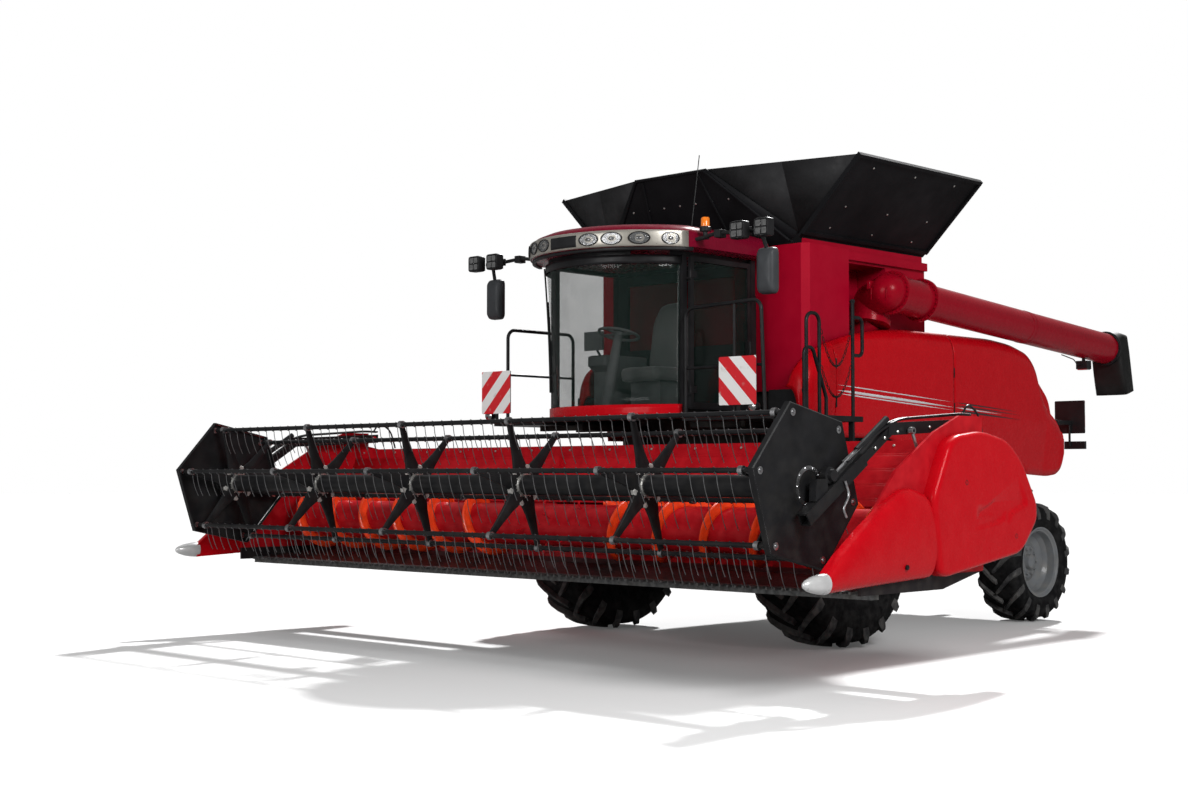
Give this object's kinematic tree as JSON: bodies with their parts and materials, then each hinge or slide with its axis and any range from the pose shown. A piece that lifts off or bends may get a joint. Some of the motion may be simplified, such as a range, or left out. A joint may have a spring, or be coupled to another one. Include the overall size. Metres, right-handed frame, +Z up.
{
  "type": "combine harvester",
  "caption": "Wheeled combine harvester with a raised grain header and tined reel, glazed cab, open grain tank covers and a swinging unloading tube.",
  "frame": {"origin": "on the ground under the middle of the machine's length, width and height box", "axes": "+X to the machine's left, +Y to its rear, +Z up; it drives towards -Y"},
  "size_m": [7.9722, 9.4788, 4.6506],
  "materials": {
    "red_paint": "gloss enamel",
    "black_paint": "satin enamel",
    "bare_steel": "brushed",
    "engine_iron": "rough",
    "rim_silver": "satin enamel",
    "tyre_rubber": "dull",
    "tinted_glass": "clear, lightly tinted",
    "black_plastic": "moulded",
    "lamp_silver": "gloss",
    "warning_white": "reflective film in diagonal stripes",
    "soft_rubber": "soft, matt"
  },
  "bodies": {
    "chassis": {"main_frame": "black_paint", "front_axle": "black_paint", "rear_axle": "black_paint", "rear_hitch": "black_paint", "separator_body": "black_paint", "engine_block": "engine_iron", "body_shell": "red_paint", "straw_chopper": "black_paint", "grain_tank": "red_paint", "tank_gussets": "soft_rubber", "cab_frame": "black_paint", "cab_glass": "tinted_glass", "cab_roof": "red_paint", "cab_interior": "black_plastic", "roof_lamps": "lamp_silver", "mirrors": "black_plastic", "platform": "black_paint", "warning_plates": "warning_white", "unloader_column": "red_paint"},
    "front_wheel_left": {"front_tyre_left": "tyre_rubber", "front_rim_left": "rim_silver"},
    "knuckle_left": {"knuckle_left": "black_paint"},
    "rear_wheel_left": {"rear_tyre_left": "tyre_rubber", "rear_rim_left": "rim_silver"},
    "side_panel_left_front": {"side_panel_left_front": "red_paint"},
    "side_panel_left_rear": {"side_panel_left_rear": "red_paint"},
    "front_wheel_right": {"front_tyre_right": "tyre_rubber", "front_rim_right": "rim_silver"},
    "knuckle_right": {"knuckle_right": "black_paint"},
    "rear_wheel_right": {"rear_tyre_right": "tyre_rubber", "rear_rim_right": "rim_silver"},
    "side_panel_right_front": {"side_panel_right_front": "red_paint"},
    "side_panel_right_rear": {"side_panel_right_rear": "red_paint"},
    "cab_door": {"cab_door": "black_paint", "door_glass": "tinted_glass"},
    "ladder": {"ladder": "black_paint"},
    "tank_cover_left": {"tank_cover_left": "black_paint"},
    "tank_cover_right": {"tank_cover_right": "black_paint"},
    "tank_cover_front": {"tank_cover_front": "black_paint"},
    "tank_cover_rear": {"tank_cover_rear": "black_paint"},
    "unloader": {"unloader_tube": "red_paint", "unloader_spout": "soft_rubber"},
    "header": {"feeder_house": "red_paint", "header_frame": "red_paint", "cutterbar": "bare_steel", "header_ends": "red_paint"},
    "header_auger": {"header_auger": "red_paint"},
    "reel_arms": {"reel_arms": "black_paint"},
    "reel_carriers": {"reel_carriers": "black_paint"},
    "reel": {"reel_core": "black_paint"},
    "tine_bar_1": {"tine_bar_1": "black_paint"},
    "tine_bar_2": {"tine_bar_2": "black_paint"},
    "tine_bar_3": {"tine_bar_3": "black_paint"},
    "tine_bar_4": {"tine_bar_4": "black_paint"},
    "tine_bar_5": {"tine_bar_5": "black_paint"},
    "tine_bar_6": {"tine_bar_6": "black_paint"},
    "lift_barrels": {"lift_barrels": "black_paint"},
    "lift_rods": {"lift_rods": "bare_steel"},
    "reel_lift_barrels": {"reel_lift_barrels": "black_paint"},
    "reel_lift_rods": {"reel_lift_rods": "bare_steel"}
  },
  "joints": [
    {"name": "front_wheel_left_spin", "type": "hinge", "parent": "chassis", "child": "front_wheel_left", "pos_m": [1.45, -0.86056, 0.9], "axis": [1, 0, 0], "continuous": true},
    {"name": "steering_left", "type": "hinge", "parent": "chassis", "child": "knuckle_left", "pos_m": [0.95, 2.90944, 0.65], "axis": [0, 0, 1], "range_deg": [-35, 35]},
    {"name": "rear_wheel_left_spin", "type": "hinge", "parent": "knuckle_left", "child": "rear_wheel_left", "pos_m": [1.28, 2.90944, 0.65], "axis": [1, 0, 0], "continuous": true},
    {"name": "side_panel_left_front_hinge", "type": "hinge", "parent": "chassis", "child": "side_panel_left_front", "pos_m": [1.506, -0.85056, 2.4], "axis": [0, 0, -1], "range_deg": [0, 75]},
    {"name": "side_panel_left_rear_hinge", "type": "hinge", "parent": "chassis", "child": "side_panel_left_rear", "pos_m": [1.506, 1.18344, 2.4], "axis": [0, 0, -1], "range_deg": [0, 75]},
    {"name": "front_wheel_right_spin", "type": "hinge", "parent": "chassis", "child": "front_wheel_right", "pos_m": [-1.45, -0.86056, 0.9], "axis": [1, 0, 0], "continuous": true},
    {"name": "steering_right", "type": "hinge", "parent": "chassis", "child": "knuckle_right", "pos_m": [-0.95, 2.90944, 0.65], "axis": [0, 0, 1], "range_deg": [-35, 35]},
    {"name": "rear_wheel_right_spin", "type": "hinge", "parent": "knuckle_right", "child": "rear_wheel_right", "pos_m": [-1.28, 2.90944, 0.65], "axis": [1, 0, 0], "continuous": true},
    {"name": "side_panel_right_front_hinge", "type": "hinge", "parent": "chassis", "child": "side_panel_right_front", "pos_m": [-1.506, -0.85056, 2.4], "axis": [0, 0, 1], "range_deg": [0, 75]},
    {"name": "side_panel_right_rear_hinge", "type": "hinge", "parent": "chassis", "child": "side_panel_right_rear", "pos_m": [-1.506, 1.18344, 2.4], "axis": [0, 0, 1], "range_deg": [0, 75]},
    {"name": "cab_door_hinge", "type": "hinge", "parent": "chassis", "child": "cab_door", "pos_m": [0.906, -2.24056, 2.9], "axis": [0, 0, -1], "range_deg": [0, 80]},
    {"name": "ladder_fold", "type": "hinge", "parent": "chassis", "child": "ladder", "pos_m": [1.885, -1.30556, 1.02], "axis": [0, 1, 0], "range_deg": [0, 178]},
    {"name": "tank_cover_left_hinge", "type": "hinge", "parent": "chassis", "child": "tank_cover_left", "pos_m": [1.235, -0.03056, 3.85], "axis": [0, -1, 0], "range_deg": [0, 135], "deforming": ["tank_gussets"]},
    {"name": "tank_cover_right_hinge", "type": "hinge", "parent": "chassis", "child": "tank_cover_right", "pos_m": [-1.235, -0.03056, 3.85], "axis": [0, 1, 0], "range_deg": [0, 135]},
    {"name": "tank_cover_front_hinge", "type": "hinge", "parent": "chassis", "child": "tank_cover_front", "pos_m": [0, -1.08056, 3.8043], "axis": [-1, 0, 0], "range_deg": [0, 120]},
    {"name": "tank_cover_rear_hinge", "type": "hinge", "parent": "chassis", "child": "tank_cover_rear", "pos_m": [0, 1.01944, 3.8043], "axis": [1, 0, 0], "range_deg": [0, 120]},
    {"name": "unloader_swing", "type": "hinge", "parent": "chassis", "child": "unloader", "pos_m": [1.24, 0.07944, 3.115], "axis": [0.0193, -0.2534, -0.9672], "range_deg": [0, 90]},
    {"name": "header_lift", "type": "hinge", "parent": "chassis", "child": "header", "pos_m": [0, -1.12556, 1.8], "axis": [-1, 0, 0], "range_deg": [-12, 4]},
    {"name": "header_auger_spin", "type": "hinge", "parent": "header", "child": "header_auger", "pos_m": [0, -3.06056, 1.15], "axis": [1, 0, 0], "continuous": true},
    {"name": "reel_lift", "type": "hinge", "parent": "header", "child": "reel_arms", "pos_m": [0, -2.22056, 2], "axis": [-1, 0, 0], "range_deg": [0, 14]},
    {"name": "reel_fore_aft", "type": "slide", "parent": "reel_arms", "child": "reel_carriers", "axis": [0, -0.848, -0.5299], "range_m": [-0.15, 0.1]},
    {"name": "reel_spin", "type": "hinge", "parent": "reel_carriers", "child": "reel", "pos_m": [0, -4.12056, 1.52], "axis": [1, 0, 0], "continuous": true},
    {"name": "tine_bar_1_pivot", "type": "hinge", "parent": "reel", "child": "tine_bar_1", "pos_m": [0, -4.66343, 1.63539], "axis": [1, 0, 0], "continuous": true},
    {"name": "tine_bar_2_pivot", "type": "hinge", "parent": "reel", "child": "tine_bar_2", "pos_m": [0, -4.29207, 2.04784], "axis": [1, 0, 0], "continuous": true},
    {"name": "tine_bar_3_pivot", "type": "hinge", "parent": "reel", "child": "tine_bar_3", "pos_m": [0, -3.7492, 1.93245], "axis": [1, 0, 0], "continuous": true},
    {"name": "tine_bar_4_pivot", "type": "hinge", "parent": "reel", "child": "tine_bar_4", "pos_m": [0, -3.57769, 1.40461], "axis": [1, 0, 0], "continuous": true},
    {"name": "tine_bar_5_pivot", "type": "hinge", "parent": "reel", "child": "tine_bar_5", "pos_m": [0, -3.94906, 0.99216], "axis": [1, 0, 0], "continuous": true},
    {"name": "tine_bar_6_pivot", "type": "hinge", "parent": "reel", "child": "tine_bar_6", "pos_m": [0, -4.49193, 1.10755], "axis": [1, 0, 0], "continuous": true},
    {"name": "lift_barrel_pivot", "type": "hinge", "parent": "chassis", "child": "lift_barrels", "pos_m": [0, -0.53056, 0.64], "axis": [-1, 0, 0], "range_deg": [-6.6, 2.33]},
    {"name": "lift_rod_slide", "type": "slide", "parent": "lift_barrels", "child": "lift_rods", "axis": [0, -0.9944, 0.1054], "range_m": [-0.2347, 0.0789]},
    {"name": "reel_lift_barrel_pivot", "type": "hinge", "parent": "header", "child": "reel_lift_barrels", "pos_m": [0, -2.76056, 1.35], "axis": [-1, 0, 0], "range_deg": [-0.2, 7.14]},
    {"name": "reel_lift_rod_slide", "type": "slide", "parent": "reel_lift_barrels", "child": "reel_lift_rods", "axis": [0, -0.4563, 0.8898], "range_m": [-0.001, 0.1865]}
  ],
  "couplings": [
    {"joint": "steering_right", "follows": "steering_left", "ratio": 1},
    {"joint": "tank_cover_right_hinge", "follows": "tank_cover_left_hinge", "ratio": 1},
    {"joint": "tank_cover_front_hinge", "follows": "tank_cover_left_hinge", "ratio": 0.888},
    {"joint": "tank_cover_rear_hinge", "follows": "tank_cover_left_hinge", "ratio": 0.888},
    {"joint": "lift_barrel_pivot", "follows": "header_lift", "ratio": 0.5335},
    {"joint": "lift_rod_slide", "follows": "header_lift", "m_per_rad": 1.116},
    {"joint": "reel_lift_barrel_pivot", "follows": "reel_lift", "ratio": 0.496},
    {"joint": "reel_lift_rod_slide", "follows": "reel_lift", "m_per_rad": 0.759},
    {"joint": "tine_bar_1_pivot", "follows": "reel_spin", "ratio": -1},
    {"joint": "tine_bar_2_pivot", "follows": "reel_spin", "ratio": -1},
    {"joint": "tine_bar_3_pivot", "follows": "reel_spin", "ratio": -1},
    {"joint": "tine_bar_4_pivot", "follows": "reel_spin", "ratio": -1},
    {"joint": "tine_bar_5_pivot", "follows": "reel_spin", "ratio": -1},
    {"joint": "tine_bar_6_pivot", "follows": "reel_spin", "ratio": -1}
  ]
}
